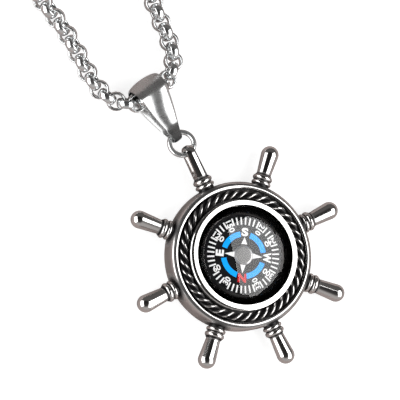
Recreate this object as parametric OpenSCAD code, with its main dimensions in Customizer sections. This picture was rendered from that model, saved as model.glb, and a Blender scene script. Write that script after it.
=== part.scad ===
// Ship's wheel compass pendant on its chain, lying face up on a flat surface.
// Millimetres. The origin is the centre of the wheel's flat back, +Z is up out of the dial,
// and +Y runs from the wheel towards the hoop, the bail and the chain.

/* [Compass capsule] */
// Radius of the round capsule
capsule_r = 10; // [9:0.25:12]
// Height of the capsule
capsule_h = 5.5; // [5:0.1:6.5]
// Height of the dark lower cup of the capsule
capsule_base_h = 2.2; // [1.8:0.1:2.6]
// Thickness of the capsule's side wall
capsule_wall = 1.1; // [0.8:0.1:1.5]
// Thickness of the clear window over the card
window_t = 0.85; // [0.75:0.05:1.1]
// Radius that the window's outer face bulges with
window_bulge_r = 90; // [60:5:150]
// Rounding of the window's edge
window_round = 2.2; // [1:0.1:2.3]
// Thickness of the capsule's floor
capsule_floor_t = 0.8; // [0.6:0.1:1]
// Clearance between the capsule and its seat
seat_gap = 0.06; // [0.04:0.01:0.12]

/* [Compass card] */
// Thickness of the card
card_t = 0.45; // [0.3:0.05:0.6]
// Free height between the card and the window
card_drop = 0.35; // [0.25:0.05:0.5]
// Gap between the card's edge and the capsule's wall
card_edge_gap = 0.8; // [0.8:0.1:2]
// Radius of the pivot pin
pivot_r = 0.35; // [0.25:0.05:0.5]
// Running clearance around the pivot pin
pivot_gap = 0.06; // [0.04:0.01:0.09]
// Radius of the hub under the card
hub_r = 1.2; // [0.9:0.1:1.8]
// Height of the hub under the card
hub_h = 0.9; // [0.7:0.1:1.1]

/* [Wheel body] */
// Thickness of the closed back
back_t = 1.15; // [0.8:0.05:1.5]
// Height of the channel floor above the back face
floor_h = 4; // [3.7:0.1:4.4]
// Width of the polished bezel around the capsule
bezel_w = 1.04; // [0.9:0.02:1.4]
// Height of the bezel above the capsule's window
bezel_lip = 0.5; // [0.2:0.1:0.8]
// Width of the channel that holds the rope
channel_w = 2.5; // [2.2:0.1:3.2]
// Width of the polished crest round the rim
crest_w = 0.7; // [0.6:0.05:0.9]
// Height of the crest above the channel floor
crest_rise = 1.6; // [1.4:0.1:2]
// Width of the rounded shoulder outside the crest
shoulder_w = 0.64; // [0.5:0.02:0.8]
// Depth of the step from the crest down to the shoulder
shoulder_drop = 0.4; // [0.2:0.05:0.5]
// Rounding of the back edge
back_round = 0.9; // [0.5:0.1:1.1]
// Rounding of the bezel's outer edge
bezel_round = 0.35; // [0.2:0.05:0.45]

/* [Rope border] */
// Gap between the rope and each wall of the channel
rope_gap = 0.3; // [0.2:0.05:0.4]
// Gap between the rope and the channel floor
rope_seat = 0.05; // [0.03:0.01:0.1]
// Strands in the rope
rope_strands = 3; // [2:1:4]
// Full turns of each strand round the wheel
rope_turns = 13; // [10:1:16]

/* [Handles] */
// Handles and hoop together, evenly spaced
spoke_count = 8; // [6:1:10]
// Height of the handles' centre line above the back face
handle_z = 3; // [2.4:0.1:3.2]
// Reach of a handle beyond the body's side wall
handle_len = 8.75; // [7:0.25:10]
// Radius of the two turned collars
collar_r = 2; // [1.8:0.05:2.2]
// Radius of the neck next to the collars
neck_r = 1.45; // [1.2:0.05:1.6]
// Radius of the grip's round end
knob_r = 1.8; // [1.65:0.05:2]

/* [Top hoop] */
// Reach of the hoop beyond the body's side wall
hoop_len = 9.7; // [8.6:0.1:10.5]
// Width of the hoop's legs at the collar
hoop_w = 2.35; // [2:0.05:2.8]
// Width of the hoop across its tip
hoop_tip_w = 1.7; // [1.4:0.05:1.8]
// Height of the slot between the front and back legs
slot_h = 1.6; // [1.5:0.05:1.7]
// Metal left at the hoop's tip
hoop_tip_wall = 0.7; // [0.6:0.05:0.8]

/* [Jump ring] */
// Radius of the jump ring to the middle of its wire
ring_r = 2.48; // [2.4:0.05:3]
// Radius of the jump ring's wire
ring_wire_r = 0.52; // [0.4:0.02:0.54]
// Clearance between the jump ring and what it links
ring_gap = 0.08; // [0.05:0.01:0.12]

/* [Bail] */
// Distance between the bail's eye and its top roll, measured along the surface
bail_len = 9.75; // [8:0.25:11]
// Width of the bail at its top
bail_w = 7; // [6:0.1:9]
// Width of the bail at its eye
bail_tip_w = 2; // [1.6:0.1:2.4]
// Thickness of the bail at its top
bail_t = 1; // [0.8:0.05:1.2]
// Thickness of the bail round its eye
bail_tip_t = 0.75; // [0.65:0.05:0.9]
// Inside radius of the top roll
bail_top_r = 2.35; // [2.3:0.05:2.8]
// Inside radius of the eye
bail_eye_r = 0.75; // [0.74:0.02:0.9]
// Fall of the bail's outer face from its middle to its edges
bail_crown = 0.5; // [0.2:0.05:0.5]
// How far the bail's sides bulge beyond straight ones, as a share of its widening
bail_fullness = 0.7; // [0:0.05:0.9]

/* [Chain] */
// Outside radius of a chain link
link_r = 2; // [1.9:0.01:2.02]
// Radius of the hole in a chain link
link_bore_r = 1.35; // [1.3:0.01:1.4]
// Width of the band that a link is made of
link_w = 1.75; // [1.5:0.05:1.78]
// Bulge of the band's outer face
link_out_crown = 0.3; // [0.2:0.05:0.3]
// Bulge of the band's inner face
link_in_crown = 0.3; // [0.2:0.05:0.3]
// Distance from one link to the next
link_pitch = 2.08; // [2.07:0.01:2.14]

/* [Clasp] */
// Length of the clasp
clasp_len = 11.5; // [10:0.5:14]
// Width of the clasp across its hook
clasp_w = 5.6; // [5:0.1:6.5]
// Thickness of the clasp
clasp_t = 1.4; // [1.1:0.1:1.4]
// Radius of the eye at the clasp's tail
clasp_eye_r = 0.95; // [0.85:0.05:1.1]
// Metal round the clasp's tail eye
clasp_tail_wall = 0.7; // [0.6:0.05:0.75]
// Metal at the hook's end
clasp_hook_wall = 0.95; // [0.8:0.05:1]
// Radius of the clasp's two rings to the middle of their wire
clasp_ring_r = 1.72; // [1.68:0.01:1.73]
// Radius of the wire of the clasp's two rings
clasp_ring_wire_r = 0.36; // [0.34:0.01:0.36]
// Clearance between the clasp's pieces
clasp_gap = 0.15; // [0.12:0.01:0.2]

/* [Hidden] */

// Smoothness of arcs, which all stay true arcs
round_fn = 72;
// Small overlap that joins the shapes of one solid
join = 0.05;
// A straight side meets a round end this share of its radius out, just inside the tangent
tuck = 0.99;

// Heights above the back face
capsule_z = back_t + seat_gap;
capsule_top_z = capsule_z + capsule_h;
bezel_z = capsule_top_z + bezel_lip;
crest_z = floor_h + crest_rise;
shoulder_z = crest_z - shoulder_drop;
card_top_z = capsule_top_z - window_t - card_drop;
card_z = card_top_z - card_t;
hub_z = card_z - hub_h;
bore_top_z = card_z + card_t / 2;
pin_top_z = bore_top_z - pivot_gap;

// Radii of the body's rings, from the capsule outwards
pocket_r = capsule_r + seat_gap;
bezel_r = pocket_r + bezel_w;
rim_r = bezel_r + channel_w;
crest_r = rim_r + crest_w;
body_r = crest_r + shoulder_w;
capsule_bore_r = capsule_r - capsule_wall;
card_r = capsule_bore_r - card_edge_gap;
// The capsule's two halves meet with this glue line
glue_gap = 0.03;
dome_z = capsule_base_h + glue_gap;

// The rope lies in the middle of the channel
rope_r = channel_w / 2 - rope_gap;
rope_ring_r = (bezel_r + rim_r) / 2;
rope_z = floor_h + rope_seat + rope_r;
// A strand's radius, and its distance from the rope's own middle
strand_r = rope_r / (1 + 1 / sin(180 / rope_strands));
strand_out = rope_r - strand_r;
// Points round the rope for one strand, and rings along it for one strand's spacing
strand_pts = 4;
strand_rings = 6;
rope_pts = rope_strands * strand_pts;
rope_rings = rope_strands * rope_turns * strand_rings;

// The two collars: where they stand in the zone they take, and the rounding of each
collar_zone = 2.5;
collar_1_x = 0.3 * collar_zone;
collar_2_x = 0.73 * collar_zone;
collar_1_round = 0.42;
collar_2_round = 0.55;
// Depth of the grooves beside the collars, and of the handle's root in the body
groove_depth = 0.35;
spoke_root = 0.8;

// The hoop's slot, from this far beyond the collars
slot_lead = 0.9;
slot_start = collar_zone + slot_lead;
slot_end = hoop_len - hoop_tip_wall;

// How far the bail, its ring and the chain's pull lean from +Y, in degrees
pull_turn = 9.5;
pull = [-sin(pull_turn), cos(pull_turn)];

// Bail, seen from the side: two round ends joined by straight tangents, lying on its back
bail_eye_out = bail_eye_r + bail_tip_t;
bail_top_out = bail_top_r + bail_t;
bail_axis_len = norm([bail_len, bail_top_out - bail_eye_out]);
bail_axis_tilt = atan((bail_top_out - bail_eye_out) / bail_len);
bail_top_steps = 16;
bail_eye_steps = 10;
bail_line_steps = 7;
// The bail is full width this share of the top roll beyond the roll's centre
bail_full_share = 0.7;
// Sections across the bail's outer face, as shares of half its width and of the edge rounding
bail_outer_cut = [[-1, 1], [-0.93, 0.25], [-0.6, 0], [-0.25, 0], [0.25, 0], [0.6, 0], [0.93, 0.25], [1, 1]];
bail_inner_cut = [0.93, 0.3, -0.3, -0.93];
bail_edge_round = 0.3;

// The jump ring lies a little low in the hoop's slot and slopes down to the bail's eye
ring_low = 0.1;
ring_high_z = handle_z - ring_low;
ring_tilt = asin((ring_high_z - bail_eye_out) / (2 * ring_r));
ring_z = (ring_high_z + bail_eye_out) / 2;
// The hoop's tip and the bail's eye both sit in the ring's hole, clear of its curve
ring_hole_r = ring_r - ring_wire_r;
tip_room = 0.35;
ring_reach = sqrt(pow(ring_hole_r - ring_gap, 2) - pow(hoop_tip_w / 2 + tip_room, 2)) * cos(ring_tilt);
ring_xy = [0, body_r + slot_end] + ring_reach * pull;
eye_bow = ring_r - sqrt(pow(ring_hole_r, 2) - pow(bail_tip_w / 2, 2));
eye_xy = ring_xy + (ring_r * cos(ring_tilt) + bail_eye_r - ring_gap - eye_bow) * pull;
top_xy = eye_xy + bail_len * pull;

// The chain's middle line, chosen by hand. Each row holds x and y from the middle of the bail's
// top roll, the height as a share of the rise into the roll, and the roll of the links about it.
// It starts and ends at the clasp and passes through the bail near the two small values.
chain_z = link_r + 0.1;
clasp_side_x = -8.9;
clasp_side_y = 213.2;
// The clasp's rings stand upright and each takes in the wall of the chain's last link
clasp_ring_hole_r = clasp_ring_r - clasp_ring_wire_r;
ring_step = (link_r + link_bore_r) / 2 + 0.35 * clasp_ring_r;
tail_r = clasp_eye_r + clasp_tail_wall;
hook_hole_x = clasp_len - tail_r - clasp_hook_wall;
hook_step = hook_hole_x + sqrt(pow(clasp_ring_hole_r - clasp_gap, 2) - pow(clasp_t / 2, 2));
clasp_span = 2 * ring_step + clasp_ring_r + hook_step;
// The hook's hole: its inset at the sides, and its narrow end as shares of its round end
clasp_hole_inset = 0.1;
hook_narrow = 0.75;
hook_reach = 2.5;
chain_route = [
    [clasp_side_x, clasp_side_y, 0, 0],
    [-16.9, 212.7, 0, 20],
    [-27.9, 207.2, 0, 45],
    [-38.9, 195.2, 0, 45],
    [-44.9, 177.2, 0, 45],
    [-45.9, 154.2, 0, 45],
    [-41.9, 124.2, 0, 45],
    [-33.9, 92.2, 0, 45],
    [-23.9, 60.2, 0, 45],
    [-14.0, 34.2, 0, 45],
    [-10.35, 20.5, 0, 42],
    [-9.6, 13, 0, 38],
    [-9.2, 6.5, 0.08, 32],
    [-7.4, 2.1, 0.4, 23],
    [-4.11, -0.31, 0.84, 14],
    [0.09, -0.66, 0.92, 7],
    [4.3, 0.7, 0.84, 3],
    [7.8, 3.9, 0.48, 0],
    [9.1, 8.8, 0.08, 0],
    [9.5, 15.2, 0, 0],
    [11.3, 28.2, 0, 10],
    [16.6, 54.2, 0, 30],
    [26.1, 86.2, 0, 45],
    [35.1, 119.2, 0, 45],
    [40.1, 150.2, 0, 45],
    [40.1, 176.2, 0, 45],
    [34.1, 196.2, 0, 45],
    [24.1, 208.2, 0, 60],
    [15.1, 212.7, 0, 80],
    [clasp_side_x + clasp_span, clasp_side_y, 0, 90]
];
route_steps = 24;

// A smooth curve through the route's points
function route_mix(a, b, c, d, t) =
    0.5 * (2 * b + (c - a) * t + (2 * a - 5 * b + 4 * c - d) * t * t
           + (3 * b - a - 3 * c + d) * t * t * t);
function route_at(i, t) =
    let (p = chain_route, last = len(p) - 1)
    route_mix(p[max(i - 1, 0)], p[i], p[i + 1], p[min(i + 2, last)], t);
route_line = [
    for (i = [0 : len(chain_route) - 2]) for (k = [0 : route_steps - 1]) route_at(i, k / route_steps),
    chain_route[len(chain_route) - 1]
];
function in_space(p) = [p[0], p[1], chain_z + p[2] * (bail_top_out - chain_z)];
// Length along the curve up to each of its fine points
route_run = [
    for (i = 0, run = 0; i < len(route_line);
         run = run + (i + 1 < len(route_line)
                      ? norm(in_space(route_line[i + 1]) - in_space(route_line[i])) : 0), i = i + 1)
    run
];
chain_len = route_run[len(route_run) - 1];
// An even number of links, so that the first and the last both lie flat
link_count = 2 * floor((chain_len / link_pitch + 1) / 2);
link_step = chain_len / (link_count - 1);
// One table for each column of the route, looked up by length along the chain
route_table = [
    for (c = [0 : 3]) [for (i = [0 : len(route_line) - 1]) [route_run[i], route_line[i][c]]]
];
function chain_at(run) = [for (c = [0 : 3]) lookup(run, route_table[c])];
// The link that lies in the bail belongs to the left strand
bail_link = [
    for (i = [0 : link_count - 1]) let (p = chain_at(i * link_step)) if (norm([p[0], p[1]]) < link_step) i
][0];

module arc_bead(x, z, r) {
    translate([x, z]) circle(r = r, $fn = round_fn);
}

module body_section() {
    difference() {
        union() {
            square([body_r - back_round, floor_h]);
            translate([0, back_round]) square([body_r, floor_h - back_round]);
            arc_bead(body_r - back_round, back_round, back_round);
            // Rim: side wall, rounded shoulder and crest
            translate([rim_r, 0]) square([crest_w, crest_z - crest_w / 2]);
            arc_bead(rim_r + crest_w / 2, crest_z - crest_w / 2, crest_w / 2);
            translate([rim_r, back_round])
                square([body_r - rim_r, shoulder_z - shoulder_w - back_round]);
            translate([rim_r, back_round])
                square([crest_w, shoulder_z - back_round]);
            arc_bead(crest_r, shoulder_z - shoulder_w, shoulder_w);
            // Bezel
            square([bezel_r, bezel_z - bezel_round]);
            square([bezel_r - bezel_round, bezel_z]);
            arc_bead(bezel_r - bezel_round, bezel_z - bezel_round, bezel_round);
        }
        translate([-join, back_t]) square([pocket_r + join, bezel_z]);
    }
}

// Root and two turned collars, along +Z from the side wall
module collar_section() {
    translate([0, -spoke_root]) square([collar_r - groove_depth, spoke_root + collar_zone]);
    for (c = [[collar_1_x, collar_1_round], [collar_2_x, collar_2_round]]) {
        arc_bead(collar_r - c[1], c[0], c[1]);
        translate([0, c[0] - c[1]]) square([collar_r - c[1], 2 * c[1]]);
    }
}

// Keeps the half of a section that a turned shape needs
module turned() {
    rotate_extrude($fn = round_fn) intersection() {
        children();
        translate([0, -body_r]) square([body_r, 3 * body_r]);
    }
}

// A cone that runs smoothly into a ball at its far end
module grip_section(base_r, end_r, from, to) {
    ball_x = to - end_r;
    lean = asin((end_r - base_r) / (ball_x - from));
    polygon([[0, from], [base_r, from], [end_r * cos(lean), ball_x - end_r * sin(lean)], [0, ball_x]]);
    translate([0, ball_x]) circle(r = end_r, $fn = round_fn);
}

// Stands a shape that was made along +Z out from the side wall, at an angle from +Y
module on_spoke(angle) {
    rotate([0, 0, angle]) translate([0, body_r, handle_z]) rotate([-90, 0, 0]) children();
}

module handle() {
    turned() {
        collar_section();
        grip_section(neck_r, knob_r, collar_zone - join, handle_len);
    }
}

module hoop() {
    turned() collar_section();
    difference() {
        intersection() {
            turned() grip_section(knob_r - 2 * join, knob_r, collar_zone - join, hoop_len);
            rotate([90, 0, 0]) linear_extrude(4 * knob_r, center = true)
                polygon([[-hoop_w / 2, 0], [hoop_w / 2, 0],
                         [hoop_tip_w / 2, hoop_len], [-hoop_tip_w / 2, hoop_len]]);
        }
        // The slot runs from side to side between the front and back legs
        for (z = [slot_start + slot_h / 2, slot_end - slot_h / 2])
            translate([0, 0, z]) rotate([0, 90, 0])
                cylinder(r = slot_h / 2, h = 2 * hoop_w, center = true, $fn = round_fn);
        translate([-hoop_w, -slot_h / 2, slot_start + slot_h / 2])
            cube([2 * hoop_w, slot_h, slot_end - slot_start - slot_h]);
    }
}

module wheel() {
    color("silver") union() {
        rotate_extrude($fn = round_fn) body_section();
        on_spoke(0) hoop();
        for (i = [1 : spoke_count - 1]) on_spoke(i * 360 / spoke_count) handle();
    }
}

// Distance from the rope's middle to its outline, at an angle from the nearest strand
function strand_edge(angle) =
    strand_out * cos(angle) + sqrt(max(0, pow(strand_r, 2) - pow(strand_out * sin(angle), 2)));
function rope_point(i, j) =
    let (round = 360 * i / rope_rings,
         from_strand = 360 / rope_pts * ((j % strand_pts) > strand_pts / 2
                                         ? strand_pts - j % strand_pts : j % strand_pts),
         reach = strand_edge(from_strand),
         at = 360 * j / rope_pts + rope_turns * round)
    [(rope_ring_r + reach * cos(at)) * cos(round),
     (rope_ring_r + reach * cos(at)) * sin(round),
     rope_z + reach * sin(at)];

// Faces of a tube of rings that closes on itself
function tube_faces(rings, pts) = [
    for (i = [0 : rings - 1]) for (j = [0 : pts - 1])
        let (a = i * pts + j, b = i * pts + (j + 1) % pts,
             c = ((i + 1) % rings) * pts + (j + 1) % pts, d = ((i + 1) % rings) * pts + j)
        for (f = [[a, b, c], [a, c, d]]) f
];

module rope_border() {
    color("dimgray") polyhedron(
        points = [for (i = [0 : rope_rings - 1]) for (j = [0 : rope_pts - 1]) rope_point(i, j)],
        faces = tube_faces(rope_rings, rope_pts));
}

module cup_section() {
    difference() {
        square([capsule_r, capsule_base_h]);
        translate([-join, capsule_floor_t]) square([capsule_bore_r + join, capsule_base_h]);
    }
}

// Lower cup of the capsule, with the pin that the card turns on
module capsule_base() {
    color("black") translate([0, 0, capsule_z]) {
        rotate_extrude($fn = round_fn) cup_section();
        cylinder(r = pivot_r, h = pin_top_z - capsule_z, $fn = round_fn);
    }
}

module dome_section() {
    difference() {
        intersection() {
            union() {
                translate([0, dome_z]) square([capsule_r, capsule_h - window_round - dome_z]);
                translate([0, dome_z]) square([capsule_r - window_round, capsule_h - dome_z]);
                arc_bead(capsule_r - window_round, capsule_h - window_round, window_round);
            }
            // Many steps, because the arc is so much larger than the rest
            translate([0, capsule_h - window_bulge_r]) circle(r = window_bulge_r, $fn = 10 * round_fn);
            translate([0, dome_z]) square([capsule_r, capsule_h]);
        }
        translate([-join, 0]) square([capsule_bore_r + join, capsule_h - window_t]);
    }
}

// Clear upper part of the capsule: side wall and window
module capsule_dome() {
    color([0.85, 0.9, 0.92, 0.35]) translate([0, 0, capsule_z])
        rotate_extrude($fn = round_fn) dome_section();
}

module compass_card() {
    color("black") difference() {
        union() {
            translate([0, 0, card_z]) cylinder(r = card_r, h = card_t, $fn = round_fn);
            translate([0, 0, hub_z]) cylinder(r = hub_r, h = hub_h + card_t / 2, $fn = round_fn);
        }
        translate([0, 0, hub_z - join])
            cylinder(r = pivot_r + pivot_gap, h = bore_top_z - hub_z + join, $fn = round_fn);
    }
}

module jump_ring() {
    color("silver") translate([ring_xy[0], ring_xy[1], ring_z]) rotate([0, 0, pull_turn])
        rotate([-ring_tilt, 0, 0]) rotate_extrude($fn = round_fn)
            translate([ring_r, 0]) circle(r = ring_wire_r, $fn = round_fn);
}

// One turn round the bail's side outline, as [along, up, normal along, normal up]
function bail_loop(top, eye) =
    let (lean = asin((top - eye) / bail_axis_len),
         half_top = 90 + lean,
         half_eye = 90 - lean,
         ends = [[bail_len, bail_top_out], [0, bail_eye_out]],
         arc_1 = [for (k = [0 : bail_top_steps]) [0, -half_top + 2 * half_top * k / bail_top_steps]],
         arc_2 = [for (k = [0 : bail_eye_steps]) [1, half_top + 2 * half_eye * k / bail_eye_steps]],
         on_arc = function (a)
             let (way = a[1] + bail_axis_tilt, r = a[0] == 0 ? top : eye, c = ends[a[0]])
             [c[0] + r * cos(way), c[1] + r * sin(way), cos(way), sin(way)],
         front = [on_arc(arc_1[bail_top_steps]), on_arc(arc_2[0])],
         back = [on_arc(arc_2[bail_eye_steps]), on_arc(arc_1[0])])
    concat([for (a = arc_1) on_arc(a)],
           [for (k = [1 : bail_line_steps - 1]) front[0] + (front[1] - front[0]) * k / bail_line_steps],
           [for (a = arc_2) on_arc(a)],
           [for (k = [1 : bail_line_steps - 1]) back[0] + (back[1] - back[0]) * k / bail_line_steps]);
bail_outer = bail_loop(bail_top_out, bail_eye_out);
bail_inner = bail_loop(bail_top_r, bail_eye_r);
function bail_half_w(along) =
    let (share = min(max(along / (bail_len + bail_full_share * bail_top_out), 0), 1))
    (bail_tip_w + (bail_w - bail_tip_w) * share * (1 + bail_fullness * (1 - share))) / 2;
function bail_ring(k) =
    let (o = bail_outer[k], n = bail_inner[k], half = bail_half_w(o[0]), share = 2 * half / bail_w)
    concat(
        [for (c = bail_outer_cut)
            let (drop = (bail_crown * c[0] * c[0] + bail_edge_round * c[1]) * share)
            [c[0] * half, o[0] - drop * o[2], o[1] - drop * o[3]]],
        [for (c = bail_inner_cut) [c * half, n[0], n[1]]]);

module bail() {
    rings = len(bail_outer);
    pts = len(bail_outer_cut) + len(bail_inner_cut);
    color("silver") translate([eye_xy[0], eye_xy[1], 0]) rotate([0, 0, pull_turn])
        polyhedron(points = [for (k = [0 : rings - 1]) each bail_ring(k)],
                   faces = tube_faces(rings, pts));
}

// One link: a band whose outer and inner faces both rise to the middle
module link() {
    half = link_w / 2;
    rotate_extrude($fn = round_fn) polygon([
        [link_r - link_out_crown, -half], [link_r, 0], [link_r - link_out_crown, half],
        [link_bore_r + link_in_crown, half], [link_bore_r, 0], [link_bore_r + link_in_crown, -half]
    ]);
}

// Places the link with a given number, every other one a quarter turn about the chain
module placed_link(i) {
    run = i * link_step;
    here = chain_at(run);
    ahead = chain_at(min(run + link_step / 2, chain_len));
    behind = chain_at(max(run - link_step / 2, 0));
    way = in_space(ahead) - in_space(behind);
    translate([top_xy[0], top_xy[1], 0]) translate(in_space(here))
        rotate([0, 0, atan2(way[1], way[0])])
            rotate([0, -atan2(way[2], norm([way[0], way[1]])), 0])
                rotate([here[3] + 90 * (i % 2), 0, 0]) link();
}

module chain_left() {
    color("silver") for (i = [0 : bail_link]) placed_link(i);
}

module chain_right() {
    color("silver") for (i = [bail_link + 1 : link_count - 1]) placed_link(i);
}

// Moves a piece of the clasp to its place, this far from the middle of the chain's first link
module on_clasp(x) {
    translate([top_xy[0] + clasp_side_x + x, top_xy[1] + clasp_side_y, chain_z]) children();
}

// A plain upright ring at either end of the clasp
module clasp_wire_ring() {
    rotate([90, 0, 0]) rotate_extrude($fn = round_fn)
        translate([clasp_ring_r, 0]) circle(r = clasp_ring_wire_r, $fn = round_fn);
}

module clasp_ring() {
    color("silver") on_clasp(ring_step) clasp_wire_ring();
}

module end_ring() {
    color("silver") on_clasp(clasp_span - ring_step) clasp_wire_ring();
}

// Tail eye and closed hook in one plate, along +X from the middle of the tail eye
module clasp() {
    head_r = clasp_w / 2;
    head_x = clasp_len - tail_r - head_r;
    lean = acos((head_r - tail_r) / head_x);
    hole_r = head_r - clasp_hook_wall - clasp_hole_inset;
    narrow_r = hook_narrow * hole_r;
    hole_x = hook_hole_x - hole_r;
    narrow_x = hook_hole_x - hook_reach * hole_r;
    color("silver") on_clasp(ring_step + clasp_ring_r) difference() {
        union() {
            cylinder(r = tail_r, h = clasp_t, center = true, $fn = round_fn);
            translate([head_x, 0, 0]) cylinder(r = head_r, h = clasp_t, center = true, $fn = round_fn);
            linear_extrude(clasp_t, center = true)
                polygon([for (side = [1, -1]) for (end = side > 0 ? [0, 1] : [1, 0])
                    let (r = tuck * (end > 0 ? head_r : tail_r))
                    [end * head_x - r * cos(lean), side * r * sin(lean)]]);
        }
        cylinder(r = clasp_eye_r, h = 2 * clasp_t, center = true, $fn = round_fn);
        translate([hole_x, 0, 0]) cylinder(r = hole_r, h = 2 * clasp_t, center = true, $fn = round_fn);
        translate([narrow_x, 0, 0])
            cylinder(r = narrow_r, h = 2 * clasp_t, center = true, $fn = round_fn);
        translate([narrow_x, -narrow_r, -clasp_t])
            cube([hole_x - narrow_x, 2 * narrow_r, 2 * clasp_t]);
    }
}

wheel();
rope_border();
capsule_base();
capsule_dome();
compass_card();
jump_ring();
bail();
chain_left();
chain_right();
clasp_ring();
clasp();
end_ring();
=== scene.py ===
import math

import bpy
from mathutils import Matrix, Vector


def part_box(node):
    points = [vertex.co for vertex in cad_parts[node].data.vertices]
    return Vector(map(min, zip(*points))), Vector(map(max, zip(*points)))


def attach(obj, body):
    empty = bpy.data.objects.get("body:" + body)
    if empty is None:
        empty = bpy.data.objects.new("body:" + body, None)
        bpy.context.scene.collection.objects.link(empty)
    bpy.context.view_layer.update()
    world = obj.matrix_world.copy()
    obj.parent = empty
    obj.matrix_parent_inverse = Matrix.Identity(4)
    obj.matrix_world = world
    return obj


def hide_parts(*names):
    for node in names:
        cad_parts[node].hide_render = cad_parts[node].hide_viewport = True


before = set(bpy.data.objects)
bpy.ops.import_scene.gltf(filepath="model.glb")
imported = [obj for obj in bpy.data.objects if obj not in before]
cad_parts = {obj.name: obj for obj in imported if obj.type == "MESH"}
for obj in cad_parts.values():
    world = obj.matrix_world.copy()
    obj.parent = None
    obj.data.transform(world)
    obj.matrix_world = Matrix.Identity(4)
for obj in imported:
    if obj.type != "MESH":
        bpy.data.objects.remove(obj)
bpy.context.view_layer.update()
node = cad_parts
mm = 0.001

# Camera. It looks down on the pendant from above its left side, far enough away that the
# wheel's handles all keep the same size, and the chain leaves the picture at the top.
camera_far = 0.6
picture_width = 80 * mm
camera_aim = Vector((-2.162, 13.600, 2.903)) * mm
toward = Vector((-0.33948, 0.04168, 0.93969)).normalized()
right = Vector((0.84219, -0.43143, 0.32339)).normalized()
upward = toward.cross(right)
bpy.ops.object.camera_add(location=camera_aim + toward * camera_far)
camera = bpy.context.object
camera.name = "camera"
camera.rotation_euler = Matrix((right, upward, toward)).transposed().to_euler()
camera.data.sensor_width = 36
camera.data.lens = camera.data.sensor_width * camera_far / picture_width
camera.data.clip_start = 0.01
bpy.context.scene.camera = camera

# Floor. A wide sheet of pale paper that looks white from every side. The steel mirrors it as
# a warm mid grey, as polished steel does on a studio table.
floor_size = 4.0
floor_mid_y = 0.1
floor_drop = 0.02 * mm


class Nodes:
    """The nodes of a finish, and a short way to add to them."""

    def __init__(self, tree):
        self.tree = tree

    def fill(self, one, values):
        """Sets a node's inputs, or links those whose value comes from another node."""
        for name, value in values.items():
            if isinstance(value, bpy.types.NodeSocket):
                self.tree.links.new(value, one.inputs[name])
            else:
                one.inputs[name].default_value = value

    def add(self, kind, values=None, **settings):
        """Adds a node and gives back its outputs."""
        one = self.tree.nodes.new(kind)
        for name, value in settings.items():
            setattr(one, name, value)
        self.fill(one, values or {})
        return one.outputs


bpy.ops.mesh.primitive_plane_add(size=floor_size, location=(0, floor_mid_y, -floor_drop))
floor = bpy.context.object
floor.name = "floor"
paper = bpy.data.materials.new("pale_paper")
paper.use_nodes = True
made = Nodes(paper.node_tree)
shader = paper.node_tree.nodes["Principled BSDF"]
made.fill(shader, {
    "Base Color": (0.5, 0.5, 0.5, 1),
    "Roughness": 1.0,
    "Specular IOR Level": 0.0,
    "Emission Color": (1, 1, 1, 1),
    "Emission Strength": 0.8,
})
mirrored_paper = made.add("ShaderNodeBsdfDiffuse", {"Color": (0.46, 0.40, 0.385, 1)})[0]
seen_direct = made.add("ShaderNodeLightPath")["Is Camera Ray"]
paper_mix = made.add("ShaderNodeMixShader", {0: seen_direct, 1: mirrored_paper, 2: shader.outputs[0]})[0]
made.fill(paper.node_tree.nodes["Material Output"], {"Surface": paper_mix})
floor.data.materials.append(paper)

# Light. Two large softboxes stand to the right and the left of the camera and leave a dark gap
# between them. The room is grey on the near side and dim on the far side.
softbox_far = 0.9
bpy.context.scene.view_settings.view_transform = "Standard"


def softbox(name, turn_from, turn_to, low, high, roll, glow):
    """A rectangular soft light, given by the angles from the camera that it fills."""
    turn = math.radians((turn_from + turn_to) / 2)
    rise = math.radians((low + high) / 2)
    across = right * math.cos(turn) - toward * math.sin(turn)
    level = toward * math.cos(turn) + right * math.sin(turn)
    out = level * math.cos(rise) + upward * math.sin(rise)
    along = upward * math.cos(rise) - level * math.sin(rise)
    bpy.ops.object.light_add(type="AREA", location=out * softbox_far)
    box = bpy.context.object
    box.name = name
    leant = Matrix.Rotation(math.radians(roll), 3, out) @ Matrix((across, along, out)).transposed()
    box.rotation_euler = leant.to_euler()
    box.data.shape = "RECTANGLE"
    box.data.size = 2 * softbox_far * math.tan(math.radians(turn_to - turn_from) / 2)
    box.data.size_y = 2 * softbox_far * math.tan(math.radians(high - low) / 2)
    box.data.energy = glow * math.pi * box.data.size * box.data.size_y


softbox("softbox_right", turn_from=39.2, turn_to=81.2, low=-43, high=24.6, roll=12, glow=3.0)
softbox("softbox_left", turn_from=-72, turn_to=-27, low=-32, high=35, roll=8, glow=2.4)

room = bpy.data.worlds.new("room")
bpy.context.scene.world = room
room.use_nodes = True
walls = Nodes(room.node_tree)
room_side = walls.add("ShaderNodeTexCoord")["Generated"]


def room_ramp(direction, start, end, at_start, at_end):
    """A value that changes smoothly across the room along a direction."""
    pair = {0: room_side, 1: direction}
    along = walls.add("ShaderNodeVectorMath", pair, operation="DOT_PRODUCT")["Value"]
    ends = {"Value": along, "From Min": start, "From Max": end, "To Min": at_start, "To Max": at_end}
    return walls.add("ShaderNodeMapRange", ends, interpolation_type="SMOOTHSTEP")["Result"]


far_side = room_ramp(upward, start=-0.6, end=0.5, at_start=0.42, at_end=0.10)
overhead = room_ramp(toward, start=0.6, end=0.9, at_start=1.0, at_end=0.12)
walls.fill(room.node_tree.nodes["Background"], {
    "Color": (1.0, 0.96, 0.94, 1),
    "Strength": walls.add("ShaderNodeMath", {0: far_side, 1: overhead}, operation="MULTIPLY")[0],
})

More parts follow.
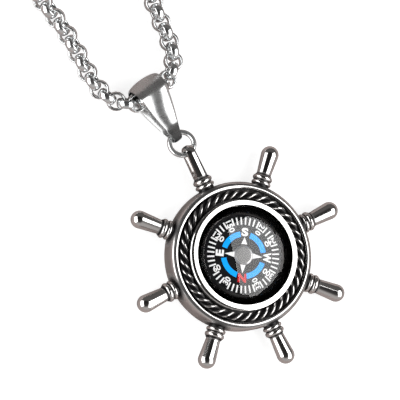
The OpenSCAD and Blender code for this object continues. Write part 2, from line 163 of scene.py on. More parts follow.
# Wheel. One steel casting with a closed flat back, turned handles and a slotted top hoop. It is
# tumbled bright, then blackened, and the black is polished off but for the channel and its walls
# and the grooves beside the collars. Painted shade darkens the corner inside the shoulder and the
# side wall round the handles' roots.
steel_colour = (0.80, 0.785, 0.775)
black_colour = (0.012, 0.011, 0.012)
black_metallic = 0.3
black_roughness = 0.32
polish_spread = 0.4
body_r = 14.94
bezel_wall_r = 11.06
channel_out_r = 13.64
spoke_turn = math.radians(45)
spoke_z = 3.0
# Where each blackened place, and each place of painted shade, begins and ends: out from the pin, up, or out
# from a handle's axis
channel_edges = (bezel_wall_r, bezel_wall_r + 0.06), (channel_out_r - 0.08, channel_out_r)
channel_top = (5.1, 5.4)
collar_edges = (body_r - 0.5, body_r), (body_r + 2.5, body_r + 3.0)
groove_edge = (1.70, 1.88)
shaded_wall_edges = (body_r - 0.9, body_r - 0.5), (body_r + 0.02, body_r + 0.1)
shaded_root_edge = (1.9, 3.6)
shaded_corner_edges = (14.08, 14.18), (14.40, 14.46)
corner_shade_share = 0.85
# The kinds of value that an effect takes and gives
number = "NodeSocketFloat"
colour = "NodeSocketColor"
direction = "NodeSocketVector"


class Sums(Nodes):
    """The nodes of a finish or an effect, with short names for the arithmetic of its masks."""

    def use(self, effect, values=None):
        """Places an effect with its own values and gives back its outputs."""
        return self.add("ShaderNodeGroup", values, node_tree=effect.tree)

    def work(self, operation, *values):
        """One step of arithmetic."""
        return self.add("ShaderNodeMath", dict(enumerate(values)), operation=operation)[0]

    def rise(self, value, low, high):
        """0 up to low, 1 from high on, and smooth between them."""
        edge = {"Value": value, "From Min": low, "From Max": high}
        return self.add("ShaderNodeMapRange", edge, interpolation_type="SMOOTHSTEP")["Result"]

    def fall(self, value, low, high):
        """1 up to low, 0 from high on, and smooth between them."""
        return self.work("SUBTRACT", 1, self.rise(value, low, high))

    def band(self, value, first_edge, last_edge):
        """1 between two edges, each given by where it starts and where it ends."""
        return self.both(self.rise(value, *first_edge), self.fall(value, *last_edge))

    def both(self, first, second):
        """1 where both masks are 1."""
        return self.work("MULTIPLY", first, second)

    def either(self, first, second):
        """The stronger of two masks."""
        return self.work("MAXIMUM", first, second)

    def length(self, first, second):
        """The long side of a right-angled triangle."""
        squares = [self.work("MULTIPLY", side, side) for side in (first, second)]
        return self.work("SQRT", self.work("ADD", *squares))

    def blend(self, kind, mask, first, second):
        """The first where the mask is 0, and the second where it is 1."""
        ends = {"Factor": mask, "A": first, "B": second}
        return self.add("ShaderNodeMix", ends, data_type=kind)["Result"]


def new_finish(name):
    """A material, its nodes and its main shader."""
    material = bpy.data.materials.new(name)
    material.use_nodes = True
    return material, Sums(material.node_tree), material.node_tree.nodes["Principled BSDF"]


def new_effect(name, takes, gives):
    """A node group that several finishes share, and what it is given."""
    effect = Sums(bpy.data.node_groups.new(name, "ShaderNodeTree"))
    for sockets, way in ((takes, "INPUT"), (gives, "OUTPUT")):
        for socket, kind in sockets.items():
            effect.tree.interface.new_socket(name=socket, in_out=way, socket_type=kind)
    return effect, effect.add("NodeGroupInput")


# Tumbling marks: small soft dents, and a polish that is duller in some places than in others
tumbling_marks, given = new_effect(
    "tumbling_marks", {"Roughness": number, "Depth": number}, {"Roughness": number, "Normal": direction})
place = tumbling_marks.add("ShaderNodeTexCoord")["Object"]
dents = tumbling_marks.add("ShaderNodeTexNoise", {"Vector": place, "Scale": 900, "Detail": 3})["Fac"]
brightest = tumbling_marks.work("MULTIPLY", given["Roughness"], 1 - polish_spread)
dullest = tumbling_marks.work("MULTIPLY", given["Roughness"], 1 + polish_spread)
dented = {"Strength": 0.2, "Distance": given["Depth"], "Height": dents}
tumbling_marks.add("NodeGroupOutput", {
    "Roughness": tumbling_marks.blend("FLOAT", dents, brightest, dullest),
    "Normal": tumbling_marks.add("ShaderNodeBump", dented)["Normal"],
})

# Black finish and painted shade: what a steel looks like where a mask leaves black on it, whether that
# black is the real finish or painted shade
black_finish_and_shade, given = new_effect(
    "black_finish_and_shade", {"Mask": number, "Steel": colour, "Black": colour, "Roughness": number},
    {"Base Color": colour, "Metallic": number, "Roughness": number})
black_finish_and_shade.add("NodeGroupOutput", {
    "Base Color": black_finish_and_shade.blend("RGBA", given["Mask"], given["Steel"], given["Black"]),
    "Metallic": black_finish_and_shade.blend("FLOAT", given["Mask"], 1, black_metallic),
    "Roughness": black_finish_and_shade.blend("FLOAT", given["Mask"], given["Roughness"], black_roughness),
})

# Place from the pin: the millimetres sideways, along, up and straight out from the card's axis
from_pin, given = new_effect("from_pin", {}, {"X": number, "Y": number, "Z": number, "Out": number})
place = from_pin.add("ShaderNodeTexCoord")["Object"]
metres = from_pin.add("ShaderNodeSeparateXYZ", {0: place})
x, y, z = (from_pin.work("DIVIDE", metres[i], mm) for i in range(3))
from_pin.add("NodeGroupOutput", {"X": x, "Y": y, "Z": z, "Out": from_pin.length(x, y)})

# Leaning out: the way that a face looks when it leans outward from the card's axis by an angle
leaning_out, given = new_effect("leaning_out", {"Lean": number}, {"Normal": direction})
place = leaning_out.add("ShaderNodeTexCoord")["Object"]
level = leaning_out.add("ShaderNodeVectorMath", {0: place, 1: (1, 1, 0)}, operation="MULTIPLY")[0]
outward = leaning_out.add("ShaderNodeVectorMath", {0: level}, operation="NORMALIZE")[0]
outward_share = leaning_out.work("SINE", given["Lean"])
leant = leaning_out.add("ShaderNodeVectorMath", {0: outward, "Scale": outward_share}, operation="SCALE")[0]
risen = leaning_out.add("ShaderNodeCombineXYZ", {"Z": leaning_out.work("COSINE", given["Lean"])})[0]
leaning_out.add("NodeGroupOutput", {
    "Normal": leaning_out.add("ShaderNodeVectorMath", {0: leant, 1: risen}, operation="ADD")[0],
})


def steel(name, tint, roughness, depth, metallic=1.0):
    """Polished steel with a trace of tumbling marks, and the nodes that later lines add to."""
    material, made, shader = new_finish(name)
    marked = made.use(tumbling_marks, {"Roughness": roughness, "Depth": depth})
    made.fill(shader, {
        "Base Color": (*tint, 1),
        "Metallic": metallic,
        "Roughness": marked["Roughness"],
        "Normal": marked["Normal"],
    })
    return material, made, shader, marked


def blacken_and_shade(made, shader, marked, mask):
    """Leaves the black finish and the painted shade on a steel where the mask is 1."""
    darkened = made.use(black_finish_and_shade, {
        "Mask": mask,
        "Steel": (*steel_colour, 1),
        "Black": (*black_colour, 1),
        "Roughness": marked["Roughness"],
    })
    made.fill(shader, {name: darkened[name] for name in ("Base Color", "Metallic", "Roughness")})


def dress(piece, material):
    """Gives a piece its only material."""
    piece.data.materials.clear()
    piece.data.materials.append(material)


wheel_steel, made, shader, marked = steel("wheel_steel", steel_colour, roughness=0.09, depth=0.004 * mm)
spot = made.use(from_pin)
out, z = spot["Out"], spot["Z"]
# Where the point lies beside the handle of its own eighth of the wheel
angle = made.work("ARCTAN2", spot["Y"], spot["X"])
sector = made.work("WRAP", angle, spoke_turn / 2, -spoke_turn / 2)
along = made.work("MULTIPLY", out, made.work("COSINE", sector))
aside = made.work("MULTIPLY", out, made.work("SINE", sector))
from_axis = made.length(aside, made.work("SUBTRACT", z, spoke_z))
channel_black = made.both(made.band(out, *channel_edges), made.fall(z, *channel_top))
groove_black = made.both(made.band(along, *collar_edges), made.fall(from_axis, *groove_edge))
# Painted shade: the side wall is darkened round each handle's root, where the handle meets the wall
painted_root_shade = made.both(made.band(out, *shaded_wall_edges), made.fall(from_axis, *shaded_root_edge))
# Painted shade: the corner inside the shoulder is darkened all round
painted_corner_shade = made.both(made.band(out, *shaded_corner_edges), corner_shade_share)
blacken_and_shade(made, shader, marked, made.either(
    made.either(channel_black, painted_corner_shade), made.either(groove_black, painted_root_shade)))
# The light on the bezel, the crest and the shoulder is worked out from how far their polished
# faces lean outward, because hand polishing rounds them more softly than their outline
edge_from_r = 10.80
edge_round_r = 1.1
bezel_wall_top = 6.75
bezel_wall_edge = (6.74, 6.80)
bezel_wall_lean = 25
bezel_wall_curve = 28
crest_mid_r = 13.95
crest_curve = 70
shoulder_r = 14.3
shoulder_lean = 22
shoulder_curve = 95
past_edge = made.work("DIVIDE", made.work("SUBTRACT", out, edge_from_r), edge_round_r)
top_lean = made.work("ARCSINE", made.work("MAXIMUM", past_edge, 0))
under_top = made.work("MAXIMUM", made.work("SUBTRACT", bezel_wall_top, z), 0)
wall_lean = made.work("ADD", bezel_wall_lean, made.work("MULTIPLY", bezel_wall_curve, under_top))
wall_lean = made.work("MINIMUM", made.work("RADIANS", wall_lean), math.pi / 2)
bezel_lean = made.blend("FLOAT", made.fall(z, *bezel_wall_edge), top_lean, wall_lean)
crest_lean = made.work("MULTIPLY", math.radians(crest_curve), made.work("SUBTRACT", out, crest_mid_r))
past_shoulder = made.work("MULTIPLY", shoulder_curve, made.work("SUBTRACT", out, shoulder_r))
rim_lean = made.work("RADIANS", made.work("ADD", shoulder_lean, past_shoulder))
# Each row is a face: its inner edge, its outer edge, the height where it starts, and its lean
polished_faces = [
    ((10.72, edge_from_r), (11.2, 11.3), (4.9, 5.1), bezel_lean),
    ((13.58, 13.64), (14.26, 14.3), (5.3, 5.45), crest_lean),
    ((14.28, 14.32), (14.9, 14.96), (4.2, 4.5), rim_lean),
]
normal = marked["Normal"]
for inner_edge, outer_edge, start_z, lean in polished_faces:
    on_face = made.both(made.band(out, inner_edge, outer_edge), made.rise(z, *start_z))
    normal = made.blend("VECTOR", on_face, normal, made.use(leaning_out, {"Lean": lean})["Normal"])
made.fill(shader, {"Normal": normal})
dress(node["wheel"], wheel_steel)

# Rope border. A three-strand twist of steel wire, bent to a ring and dropped into the channel.
# Its valleys stay black and its crests are polished bright.
rope_r = 0.95
rope_ring_r = 12.35
rope_z = 5.0
rope_strands = 3
rope_turns = 13
rope_rounds = 624
strand_sides = 12
strand_r = rope_r / (1 + 1 / math.sin(math.pi / rope_strands))
strand_out = rope_r - strand_r
rope_len = 2 * math.pi * rope_ring_r
valley_edge = (0.87, 0.935)
flank_edge = (0.45, 0.7)


def only(piece):
    """Makes a piece the one that is selected and active."""
    bpy.ops.object.select_all(action="DESELECT")
    piece.select_set(True)
    bpy.context.view_layer.objects.active = piece


def apply_modifiers(piece):
    """Makes a piece's modifiers part of its mesh."""
    only(piece)
    for modifier in list(piece.modifiers):
        bpy.ops.object.modifier_apply(modifier=modifier.name)


def join_all(pieces, name):
    """Joins finished pieces into one, with its origin at the world's."""
    bpy.ops.object.select_all(action="DESELECT")
    for piece in pieces:
        piece.select_set(True)
    bpy.context.view_layer.objects.active = pieces[0]
    if len(pieces) > 1:
        bpy.ops.object.join()
    joined = bpy.context.object
    bpy.ops.object.transform_apply(location=True, rotation=True, scale=True)
    joined.name = name
    return joined


bpy.ops.object.select_all(action="DESELECT")
strands = []
for i in range(rope_strands):
    turn = 2 * math.pi * i / rope_strands
    bpy.ops.mesh.primitive_cylinder_add(
        vertices=strand_sides, radius=strand_r * mm, depth=rope_len / rope_rounds * mm,
        end_fill_type="NOTHING", rotation=(0, math.pi / 2, 0),
        location=(0, strand_out * math.cos(turn) * mm, strand_out * math.sin(turn) * mm))
    strands.append(bpy.context.object)
rope = join_all(strands, "rope_twist")
stretch = rope.modifiers.new("length", "ARRAY")
stretch.count = rope_rounds
stretch.use_merge_vertices = True
stretch.merge_threshold = 0.001 * mm
apply_modifiers(rope)
rope_x = [v.co.x for v in rope.data.vertices]
rope_mid = (min(rope_x) + max(rope_x)) / 2
for v in rope.data.vertices:
    # The twist, and the bend into a ring
    run = (v.co.x - rope_mid) / mm / rope_ring_r
    lay = rope_turns * run
    side = v.co.y * math.cos(lay) - v.co.z * math.sin(lay)
    rise = v.co.y * math.sin(lay) + v.co.z * math.cos(lay)
    ring_r = rope_ring_r * mm + side
    v.co = (ring_r * math.cos(run), ring_r * math.sin(run), rope_z * mm + rise)
only(rope)
bpy.ops.object.mode_set(mode="EDIT")
bpy.ops.mesh.select_all(action="SELECT")
bpy.ops.mesh.remove_doubles(threshold=0.002 * mm)
bpy.ops.mesh.normals_make_consistent(inside=False)
bpy.ops.object.mode_set(mode="OBJECT")
bpy.ops.object.shade_smooth()
rope_steel, made, shader, marked = steel("rope_steel", steel_colour, roughness=0.12, depth=0.003 * mm)
spot = made.use(from_pin)
over_middle = made.work("SUBTRACT", spot["Z"], rope_z)
from_middle = made.length(made.work("SUBTRACT", spot["Out"], rope_ring_r), over_middle)
blacken_and_shade(made, shader, marked, made.either(
    made.fall(from_middle, *valley_edge), made.fall(over_middle, *flank_edge)))
dress(rope, rope_steel)
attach(rope, "necklace")
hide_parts("rope_border")

# Capsule. A black plastic cup closed by a clear moulded cap with a slightly domed window. It is
# filled and sealed, and pressed into the wheel's pocket.

# Moulded grain: a plastic that is a little duller in some places than in others
moulded_grain, given = new_effect(
    "moulded_grain", {"Scale": number, "Smooth": number, "Dull": number}, {"Roughness": number})
place = moulded_grain.add("ShaderNodeTexCoord")["Object"]
grains = moulded_grain.add("ShaderNodeTexNoise", {"Vector": place, "Scale": given["Scale"]})["Fac"]
moulded_grain.add("NodeGroupOutput", {
    "Roughness": moulded_grain.blend("FLOAT", grains, given["Smooth"], given["Dull"]),
})

black_plastic, made, shader = new_finish("black_plastic")
made.fill(shader, {
    "Base Color": (0.006, 0.006, 0.007, 1),
    "Specular IOR Level": 0.1,
    "Roughness": made.use(moulded_grain, {"Scale": 1500, "Smooth": 0.25, "Dull": 0.4})["Roughness"],
})
dress(node["capsule_base"], black_plastic)

# The window's rounded edge starts with a crisp line and falls away steeply
edge_line = (7.90, 8.00)
edge_lean = 30
edge_curve_from_r = 8.4
edge_curve = 71
clear_plastic, made, shader = new_finish("clear_plastic")
out = made.use(from_pin)["Out"]
past_curve = made.work("MAXIMUM", made.work("SUBTRACT", out, edge_curve_from_r), 0)
lean = made.work("RADIANS", made.work("ADD", edge_lean, made.work("MULTIPLY", edge_curve, past_curve)))
flat = made.add("ShaderNodeNewGeometry")["Normal"]
rounded = made.use(leaning_out, {"Lean": lean})["Normal"]
made.fill(shader, {
    "Base Color": (1, 1, 1, 1),
    "Transmission Weight": 1,
    "IOR": 1.6,
    "Roughness": made.use(moulded_grain, {"Scale": 700, "Smooth": 0.0, "Dull": 0.006})["Roughness"],
    "Normal": made.blend("VECTOR", made.rise(out, *edge_line), flat, rounded),
})
# Light passes straight through to the card, and the cap's inner face doesn't show because the
# oil that fills the capsule bends light as much as the cap does
passing_light = made.add("ShaderNodeLightPath")["Is Shadow Ray"]
inner_face = made.add("ShaderNodeNewGeometry")["Backfacing"]
see_through = made.add("ShaderNodeBsdfTransparent")[0]
clear_mix = made.add("ShaderNodeMixShader", {
    0: made.either(passing_light, inner_face), 1: shader.outputs[0], 2: see_through})[0]
made.fill(made.tree.nodes["Material Output"], {"Surface": clear_mix})
dress(node["capsule_dome"], clear_plastic)

# Compass card. A black disc that turns on the pin. Its ticks, letters, numbers, arcs and star are
# printed on it, raised here by the thickness of thick ink.
card_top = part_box("compass_card")[1].z
ink = 0.02 * mm
south_turn = math.radians(58.9)
card_black = black_plastic.copy()
card_black.name = "card_black"
card_black.node_tree.nodes["Principled BSDF"].inputs["Specular IOR Level"].default_value = 0.05
dress(node["compass_card"], card_black)

# Ink patches: an ink that is thinner, and so darker, in some places than in others
ink_patches, given = new_effect("ink_patches", {"Thin": colour, "Thick": colour}, {"Base Color": colour})
place = ink_patches.add("ShaderNodeTexCoord")["Object"]
patches = ink_patches.add("ShaderNodeTexNoise", {"Vector": place, "Scale": 2500})["Fac"]
ink_patches.add("NodeGroupOutput", {
    "Base Color": ink_patches.blend("RGBA", patches, given["Thin"], given["Thick"]),
})


def printing_ink(name, tint, thin_share):
    """Matt ink on the card, where thin ink has a share of the brightness of thick ink."""
    material, made, shader = new_finish(name)
    thin = [thin_share * part for part in tint]
    made.fill(shader, {
        "Base Color": made.use(ink_patches, {"Thin": (*thin, 1), "Thick": (*tint, 1)})["Base Color"],
        "Roughness": 0.6,
        "Specular IOR Level": 0.1,
    })
    return material


white_ink = printing_ink("white_ink", (0.86, 0.86, 0.86), thin_share=0.85)
blue_ink = printing_ink("blue_ink", (0.0, 0.36, 1.0), thin_share=0.92)
red_ink = printing_ink("red_ink", (0.62, 0.012, 0.02), thin_share=0.85)


def card_turn(clockwise):
    """The direction on the card that lies so many degrees clockwise from S."""
    return south_turn - math.radians(clockwise)


def printed(pieces, name, material):
    """Joins printed marks and fixes them to the card."""
    print_piece = join_all(pieces, name)
    dress(print_piece, material)
    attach(print_piece, "card")


def put_on_card(piece, out, turn, spin):
    """Moves a flat mark from the origin to its place, out from the pin, and turns it."""
    spot = Vector((out * math.cos(turn) * mm, out * math.sin(turn) * mm, card_top + ink / 2))
    piece.matrix_world = Matrix.Translation(spot) @ Matrix.Rotation(spin, 4, "Z")


# Ticks, left out where a number stands
tick_out_r = 7.6
tick_len = 1.5
tick_w = 0.32
tick_step = 7.5
numbers = {30: "210", 60: "240", 120: "300", 150: "330", 210: "30", 240: "60", 300: "120", 330: "150"}
ticks = []
for i in range(round(360 / tick_step)):
    if i * tick_step in numbers:
        continue
    bpy.ops.mesh.primitive_cube_add(size=1)
    tick = bpy.context.object
    tick.scale = (tick_len * mm, tick_w * mm, ink)
    only(tick)
    bpy.ops.object.transform_apply(location=False, rotation=False, scale=True)
    turn = card_turn(i * tick_step)
    put_on_card(tick, tick_out_r - tick_len / 2, turn, turn)
    ticks.append(tick)
printed(ticks, "dial_ticks", white_ink)

# Letters and numbers. The letters stand with their feet to the pin, and the numbers read inwards
# along a radius
letter_h = 1.7
letter_weight = 0.05
letter_rows = [(0, "S", 1.45, 4.65), (90, "W", 2.1, 5.0), (270, "E", 1.3, 5.0)]
north_size = 1.8
north_mid_r = 4.55
number_h = 1.2
digit_w = 0.8
number_weight = 0.03
number_mid_r = 6.25


def lettering(words, tall, wide, weight):
    """Flat raised letters of a set height and width, centred on the origin."""
    bpy.ops.object.text_add()
    text = bpy.context.object
    text.data.body = words
    text.data.offset = weight
    text.data.extrude = 0.5
    text.data.resolution_u = 4
    only(text)
    bpy.ops.object.convert(target="MESH")
    letters = bpy.context.object
    low = Vector([min(v.co[k] for v in letters.data.vertices) for k in range(3)])
    high = Vector([max(v.co[k] for v in letters.data.vertices) for k in range(3)])
    size = high - low
    for v in letters.data.vertices:
        place = v.co - (low + high) / 2
        v.co = (place.x / size.x * wide * mm, place.y / size.y * tall * mm, place.z / size.z * ink)
    return letters


letters = []
for clockwise, words, letter_w, letter_mid_r in letter_rows:
    letter = lettering(words, letter_h, letter_w, letter_weight)
    turn = card_turn(clockwise)
    put_on_card(letter, letter_mid_r, turn, turn - math.pi / 2)
    letters.append(letter)
printed(letters, "dial_letters", white_ink)
north = lettering("N", north_size, north_size, letter_weight)
put_on_card(north, north_mid_r, card_turn(180), card_turn(180) - math.pi / 2)
printed([north], "dial_north", red_ink)

digits = []
for clockwise, words in numbers.items():
    digit = lettering(words, number_h, digit_w * len(words), number_weight)
    turn = card_turn(clockwise)
    put_on_card(digit, number_mid_r, turn, turn + math.pi)
    digits.append(digit)
printed(digits, "dial_numbers", white_ink)

# Four arcs between the letters
arc_in_r = 3.65
arc_out_r = 4.75
arc_from = 15.5
arc_to = 77.5
arc_steps = 20
arcs = []
for quarter in range(4):
    bpy.ops.mesh.primitive_plane_add(size=1, rotation=(math.pi / 2, 0, 0))
    arc = bpy.context.object
    arc.scale = ((arc_out_r - arc_in_r) * mm, ink, 1)
    arc.location = ((arc_in_r + arc_out_r) / 2 * mm, 0, card_top + ink / 2)
    only(arc)
    bpy.ops.object.transform_apply(location=True, rotation=True, scale=True)
    bpy.ops.object.mode_set(mode="EDIT")
    bpy.ops.mesh.select_all(action="SELECT")
    arc_angle = math.radians(arc_to - arc_from)
    bpy.ops.mesh.spin(steps=arc_steps, angle=arc_angle, center=(0, 0, 0), axis=(0, 0, 1))
    bpy.ops.mesh.select_all(action="SELECT")
    bpy.ops.mesh.normals_make_consistent(inside=False)
    bpy.ops.object.mode_set(mode="OBJECT")
    # The arc spins one way only, so it is turned about the pin until its ends are right
    turns = [math.atan2(v.co.y, v.co.x) for v in arc.data.vertices]
    middle = (min(turns) + max(turns)) / 2
    arc.rotation_euler.z = card_turn(90 * quarter + (arc_from + arc_to) / 2) - middle
    arcs.append(arc)
printed(arcs, "dial_arcs", blue_ink)

# Four points round the hub, towards S, W, N and E. Each is a three-sided prism, with its corners
# moved to the tip and to the ends of the base
point_w = 1.25
point_tip_r = (3.65, 4.0, 3.65, 4.0)
point_base_r = (2.2, 1.75, 1.75, 1.75)
points = []
for quarter in range(4):
    bpy.ops.mesh.primitive_cylinder_add(vertices=3, radius=1, depth=1)
    point = bpy.context.object
    turn = card_turn(90 * quarter)
    way = Vector((math.cos(turn), math.sin(turn), 0))
    beside = Vector((-way.y, way.x, 0)) * point_w / 2
    base = way * point_base_r[quarter]
    spots = [way * point_tip_r[quarter], base - beside, base + beside]
    only(point)
    corners = sorted(set((round(v.co.x, 4), round(v.co.y, 4)) for v in point.data.vertices))
    for v in point.data.vertices:
        spot = spots[corners.index((round(v.co.x, 4), round(v.co.y, 4)))]
        v.co = (spot.x * mm, spot.y * mm, card_top + (ink if v.co.z > 0 else 0))
    bpy.ops.object.mode_set(mode="EDIT")
    bpy.ops.mesh.select_all(action="SELECT")
    bpy.ops.mesh.normals_make_consistent(inside=False)
    bpy.ops.object.mode_set(mode="OBJECT")
    points.append(point)
printed(points, "dial_points", white_ink)

# Hub cap. A small grey plastic cap over the jewel that the pin carries, pressed on the card, with
# a polished slope round its edge.
cap_r = 2.0
cap_top_r = 1.6
cap_h = 0.3
cap_sides = 64
cap_edge = 0.05
bpy.ops.mesh.primitive_cone_add(
    vertices=cap_sides, radius1=cap_r * mm, radius2=cap_top_r * mm, depth=cap_h * mm,
    location=(0, 0, card_top + cap_h / 2 * mm))
cap = bpy.context.object
bpy.ops.object.transform_apply(location=True, rotation=True, scale=True)
cap.name = "dial_cap"
bpy.ops.object.mode_set(mode="EDIT")
bpy.ops.mesh.select_all(action="SELECT")
bpy.ops.mesh.bevel(offset=cap_edge * mm, segments=2, affect="EDGES")
bpy.ops.object.mode_set(mode="OBJECT")
bpy.ops.object.shade_smooth_by_angle(angle=math.radians(20))
cap_plastic, made, shader = new_finish("cap_plastic")
on_slope = made.rise(made.use(from_pin)["Out"], cap_top_r - cap_edge, cap_top_r)
made.fill(shader, {
    "Base Color": made.blend("RGBA", on_slope, (0.15, 0.147, 0.145, 1), (0.55, 0.54, 0.53, 1)),
    "Metallic": on_slope,
    "Roughness": 0.3,
})
dress(cap, cap_plastic)
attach(cap, "card")

# Jump ring. A round steel wire, tumbled bright and bent closed through the slot of the wheel's
# hoop and the eye of the bail.
worn_colour = (0.875, 0.89, 0.895)
ring_steel = steel("ring_steel", worn_colour, roughness=0.2, depth=0.002 * mm, metallic=0.85)[0]
dress(node["jump_ring"], ring_steel)

# Bail. A tapered strip of steel folded round to a wide roll at the top and a small eye at the
# bottom, with softly rounded edges and a satin polish.
pull_turn = math.radians(9.5)
bail_eye = (-0.601, 27.533)
bail_full_len = 12.1
bail_eye_half = 1
bail_flare = 2.5
bail_fullness = 0.7
bail_steel, made, shader, marked = steel("bail_steel", (0.74, 0.75, 0.75), roughness=0.28, depth=0.004 * mm)
# How far a point lies up the bail from its eye, and aside as a share of the half width there
spot = made.use(from_pin)
x = made.work("SUBTRACT", spot["X"], bail_eye[0])
y = made.work("SUBTRACT", spot["Y"], bail_eye[1])
along = made.work("SUBTRACT", made.work("MULTIPLY", y, math.cos(pull_turn)),
                  made.work("MULTIPLY", x, math.sin(pull_turn)))
aside = made.work("ADD", made.work("MULTIPLY", x, math.cos(pull_turn)),
                  made.work("MULTIPLY", y, math.sin(pull_turn)))
share = made.work("MINIMUM", made.work("MAXIMUM", made.work("DIVIDE", along, bail_full_len), 0), 1)
widening = made.both(share, made.work("SUBTRACT", 1 + bail_fullness, made.both(bail_fullness, share)))
half_w = made.work("ADD", bail_eye_half, made.work("MULTIPLY", bail_flare, widening))
spread = made.work("DIVIDE", aside, half_w)
# The front is worn rounder than its outline, and its ridge runs off to the left lower down
worn_turn = math.radians(-25)
front_edge = (0.35, 0.6)
left_edge = (0.88, 0.97)
ridge_low = -0.38
ridge_shift = 0.35
ridge_rise = (4.5, 9.5)
ridge_lean = 17
worn_curve = 42
least_lean = -17
most_lean = 46
right_edge = (0.72, 0.88)
right_edge_lean = 30
facing_up = made.add("ShaderNodeSeparateXYZ", {0: made.add("ShaderNodeNewGeometry")["Normal"]})["Z"]
leftward = made.work("MULTIPLY", spread, -1)
on_front = made.both(made.rise(facing_up, *front_edge), made.fall(leftward, *left_edge))
ridge = made.work("ADD", ridge_low, made.work("MULTIPLY", ridge_shift, made.rise(along, *ridge_rise)))
past_ridge = made.work("MULTIPLY", worn_curve, made.work("SUBTRACT", spread, ridge))
lean = made.work("SUBTRACT", ridge_lean, past_ridge)
lean = made.work("MINIMUM", made.work("MAXIMUM", lean, least_lean), most_lean)
lean = made.work("SUBTRACT", lean, made.work("MULTIPLY", right_edge_lean, made.rise(spread, *right_edge)))
worn_front = made.add("ShaderNodeVectorRotate", {
    "Vector": (0, 0, 1),
    "Axis": (-math.sin(worn_turn), math.cos(worn_turn), 0),
    "Angle": made.work("RADIANS", made.work("MULTIPLY", lean, -1)),
}, rotation_type="AXIS_ANGLE")[0]
# The roll and the tip are worn to a steady slope, which is steeper at the very top
roll_edge = (9.2, 10.2)
tip_edge = (1.0, 2.6)
worn_share = 0.85
slope_way = Vector((-0.1, 0.62, 0.8))
steeper_edge = (10.2, 12.4)
steeper_y = 0.75
steeper = made.work("MULTIPLY", steeper_y, made.rise(along, *steeper_edge))
worn_slope = made.add("ShaderNodeCombineXYZ", {
    "X": slope_way.x,
    "Y": made.work("ADD", slope_way.y, steeper),
    "Z": slope_way.z,
})[0]
on_roll = made.both(worn_share, made.either(made.rise(along, *roll_edge), made.fall(along, *tip_edge)))
normal = made.blend("VECTOR", on_front, marked["Normal"], worn_front)
front_metallic = 0.75
made.fill(shader, {
    "Normal": made.blend("VECTOR", on_roll, normal, worn_slope),
    "Metallic": made.work("ADD", front_metallic, made.work("MULTIPLY", 1 - front_metallic, on_roll)),
})
# The mesh is a copy of the solid's, with its loose triangles merged and its facets smoothed
bail = node["bail"].copy()
bail.data = node["bail"].data.copy()
bpy.context.scene.collection.objects.link(bail)
bail.parent = None
bail.name = "bail_fold"
for key in list(bail.keys()):
    if key.startswith("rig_"):
        del bail[key]
only(bail)
bpy.ops.object.mode_set(mode="EDIT")
bpy.ops.mesh.select_all(action="SELECT")
bpy.ops.mesh.remove_doubles(threshold=0.001 * mm)
bpy.ops.mesh.customdata_custom_splitnormals_clear()
bpy.ops.mesh.tris_convert_to_quads(face_threshold=math.pi, shape_threshold=math.pi)
bpy.ops.object.mode_set(mode="OBJECT")
soften = bail.modifiers.new("soften", "SUBSURF")
soften.levels = 2
soften.render_levels = 2
apply_modifiers(bail)
bpy.ops.object.shade_smooth()
dress(bail, bail_steel)
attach(bail, "necklace")
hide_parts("bail")

# Chain. Round links of a rounded steel band, each a quarter turn from the last. It runs from the
# clasp through the bail and back to the clasp, so both strands are one loop of 485.4 mm.
link_r = 2.0
link_bore_r = 1.35
link_w = 1.75
link_pitch = 2.08
chain_z = link_r + 0.1
roll_z = 3.35
top_x = -2.211
top_y = 37.150
clasp_side_x = -8.9
clasp_side_y = 213.2
clasp_span = 16.1
# x and y from the middle of the bail's top roll, height as a share of the rise into the roll,
# and the roll of the links about the route in degrees
chain_route = [
    (clasp_side_x, clasp_side_y, 0, 0),
    (-16.9, 212.7, 0, 20),
    (-27.9, 207.2, 0, 45),
    (-38.9, 195.2, 0, 45),
    (-44.9, 177.2, 0, 45),
    (-45.9, 154.2, 0, 45),
    (-41.9, 124.2, 0, 45),
    (-33.9, 92.2, 0, 45),
    (-23.9, 60.2, 0, 45),
    (-14.0, 34.2, 0, 45),
    (-10.35, 20.5, 0, 42),
    (-9.6, 13, 0, 38),
    (-9.2, 6.5, 0.08, 32),
    (-7.4, 2.1, 0.4, 23),
    (-4.11, -0.31, 0.84, 14),
    (0.09, -0.66, 0.92, 7),
    (4.3, 0.7, 0.84, 3),
    (7.8, 3.9, 0.48, 0),
    (9.1, 8.8, 0.08, 0),
    (9.5, 15.2, 0, 0),
    (11.3, 28.2, 0, 10),
    (16.6, 54.2, 0, 30),
    (26.1, 86.2, 0, 45),
    (35.1, 119.2, 0, 45),
    (40.1, 150.2, 0, 45),
    (40.1, 176.2, 0, 45),
    (34.1, 196.2, 0, 45),
    (24.1, 208.2, 0, 60),
    (15.1, 212.7, 0, 80),
    (clasp_side_x + clasp_span, clasp_side_y, 0, 90),
]
route_steps = 24


def route_point(i, share):
    """A point of the smooth curve through the route's rows."""
    last = len(chain_route) - 1
    a, b, c, d = (Vector(chain_route[k]) for k in (max(i - 1, 0), i, i + 1, min(i + 2, last)))
    return 0.5 * (2 * b + (c - a) * share + (2 * a - 5 * b + 4 * c - d) * share**2
                  + (3 * b - a - 3 * c + d) * share**3)


def in_space(row):
    """The place of a row of the route, in millimetres."""
    return Vector((top_x + row[0], top_y + row[1], chain_z + row[2] * (roll_z - chain_z)))


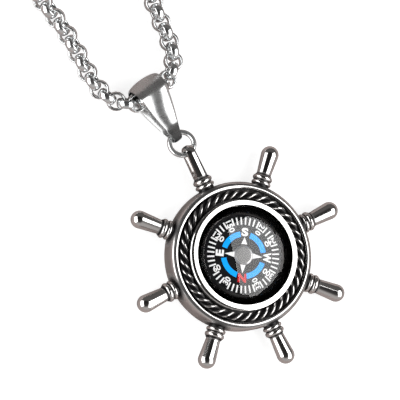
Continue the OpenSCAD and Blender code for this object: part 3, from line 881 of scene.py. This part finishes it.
route_line = [
    route_point(i, k / route_steps) for i in range(len(chain_route) - 1) for k in range(route_steps)]
route_line.append(Vector(chain_route[-1]))
route_run = [0.0]
for before, after in zip(route_line, route_line[1:]):
    route_run.append(route_run[-1] + (in_space(after) - in_space(before)).length)
chain_len = route_run[-1]
link_count = 2 * math.floor((chain_len / link_pitch + 1) / 2)
link_step = chain_len / (link_count - 1)


def chain_at(run):
    """The route's row at a length along it."""
    run = min(max(run, 0), chain_len)
    i = next(k for k in range(1, len(route_run)) if route_run[k] >= run or k == len(route_run) - 1)
    share = (run - route_run[i - 1]) / (route_run[i] - route_run[i - 1])
    return route_line[i - 1].lerp(route_line[i], share)


# One link: a wire ring stretched to a wide band
wire_r = (link_r - link_bore_r) / 2
bpy.ops.mesh.primitive_torus_add(
    major_radius=(link_r - wire_r) * mm, minor_radius=wire_r * mm, major_segments=16, minor_segments=8)
link = bpy.context.object
only(link)
for v in link.data.vertices:
    v.co.z *= link_w / (2 * wire_r)
bpy.ops.object.shade_smooth()
# The left strand ends with the first link within a step of the middle of the bail's roll
link_at_bail = next(i for i in range(link_count) if chain_at(i * link_step).to_2d().length < link_step)
strands = {"chain_left": range(link_at_bail + 1), "chain_right": range(link_at_bail + 1, link_count)}
chain_steel = steel("chain_steel", worn_colour, roughness=0.14, depth=0.003 * mm, metallic=0.95)[0]
for name, numbers_along in strands.items():
    copies = []
    for i in numbers_along:
        run = i * link_step
        here = chain_at(run)
        way = in_space(chain_at(run + link_step / 2)) - in_space(chain_at(run - link_step / 2))
        copy = link.copy()
        copy.data = link.data.copy()
        bpy.context.scene.collection.objects.link(copy)
        copy.matrix_world = (
            Matrix.Translation(in_space(here) * mm)
            @ Matrix.Rotation(math.atan2(way.y, way.x), 4, "Z")
            @ Matrix.Rotation(-math.atan2(way.z, math.hypot(way.x, way.y)), 4, "Y")
            @ Matrix.Rotation(math.radians(here[3] + 90 * (i % 2)), 4, "X"))
        copies.append(copy)
    strand = join_all(copies, name + "_links")
    dress(strand, chain_steel)
    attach(strand, "necklace")
    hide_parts(name)
bpy.data.objects.remove(link)

# Clasp. A plain closed steel clasp between two small wire rings, each bent closed round the last
# link of a strand. The photograph doesn't show them.
for name in ("clasp_ring", "clasp", "end_ring"):
    dress(node[name], chain_steel)
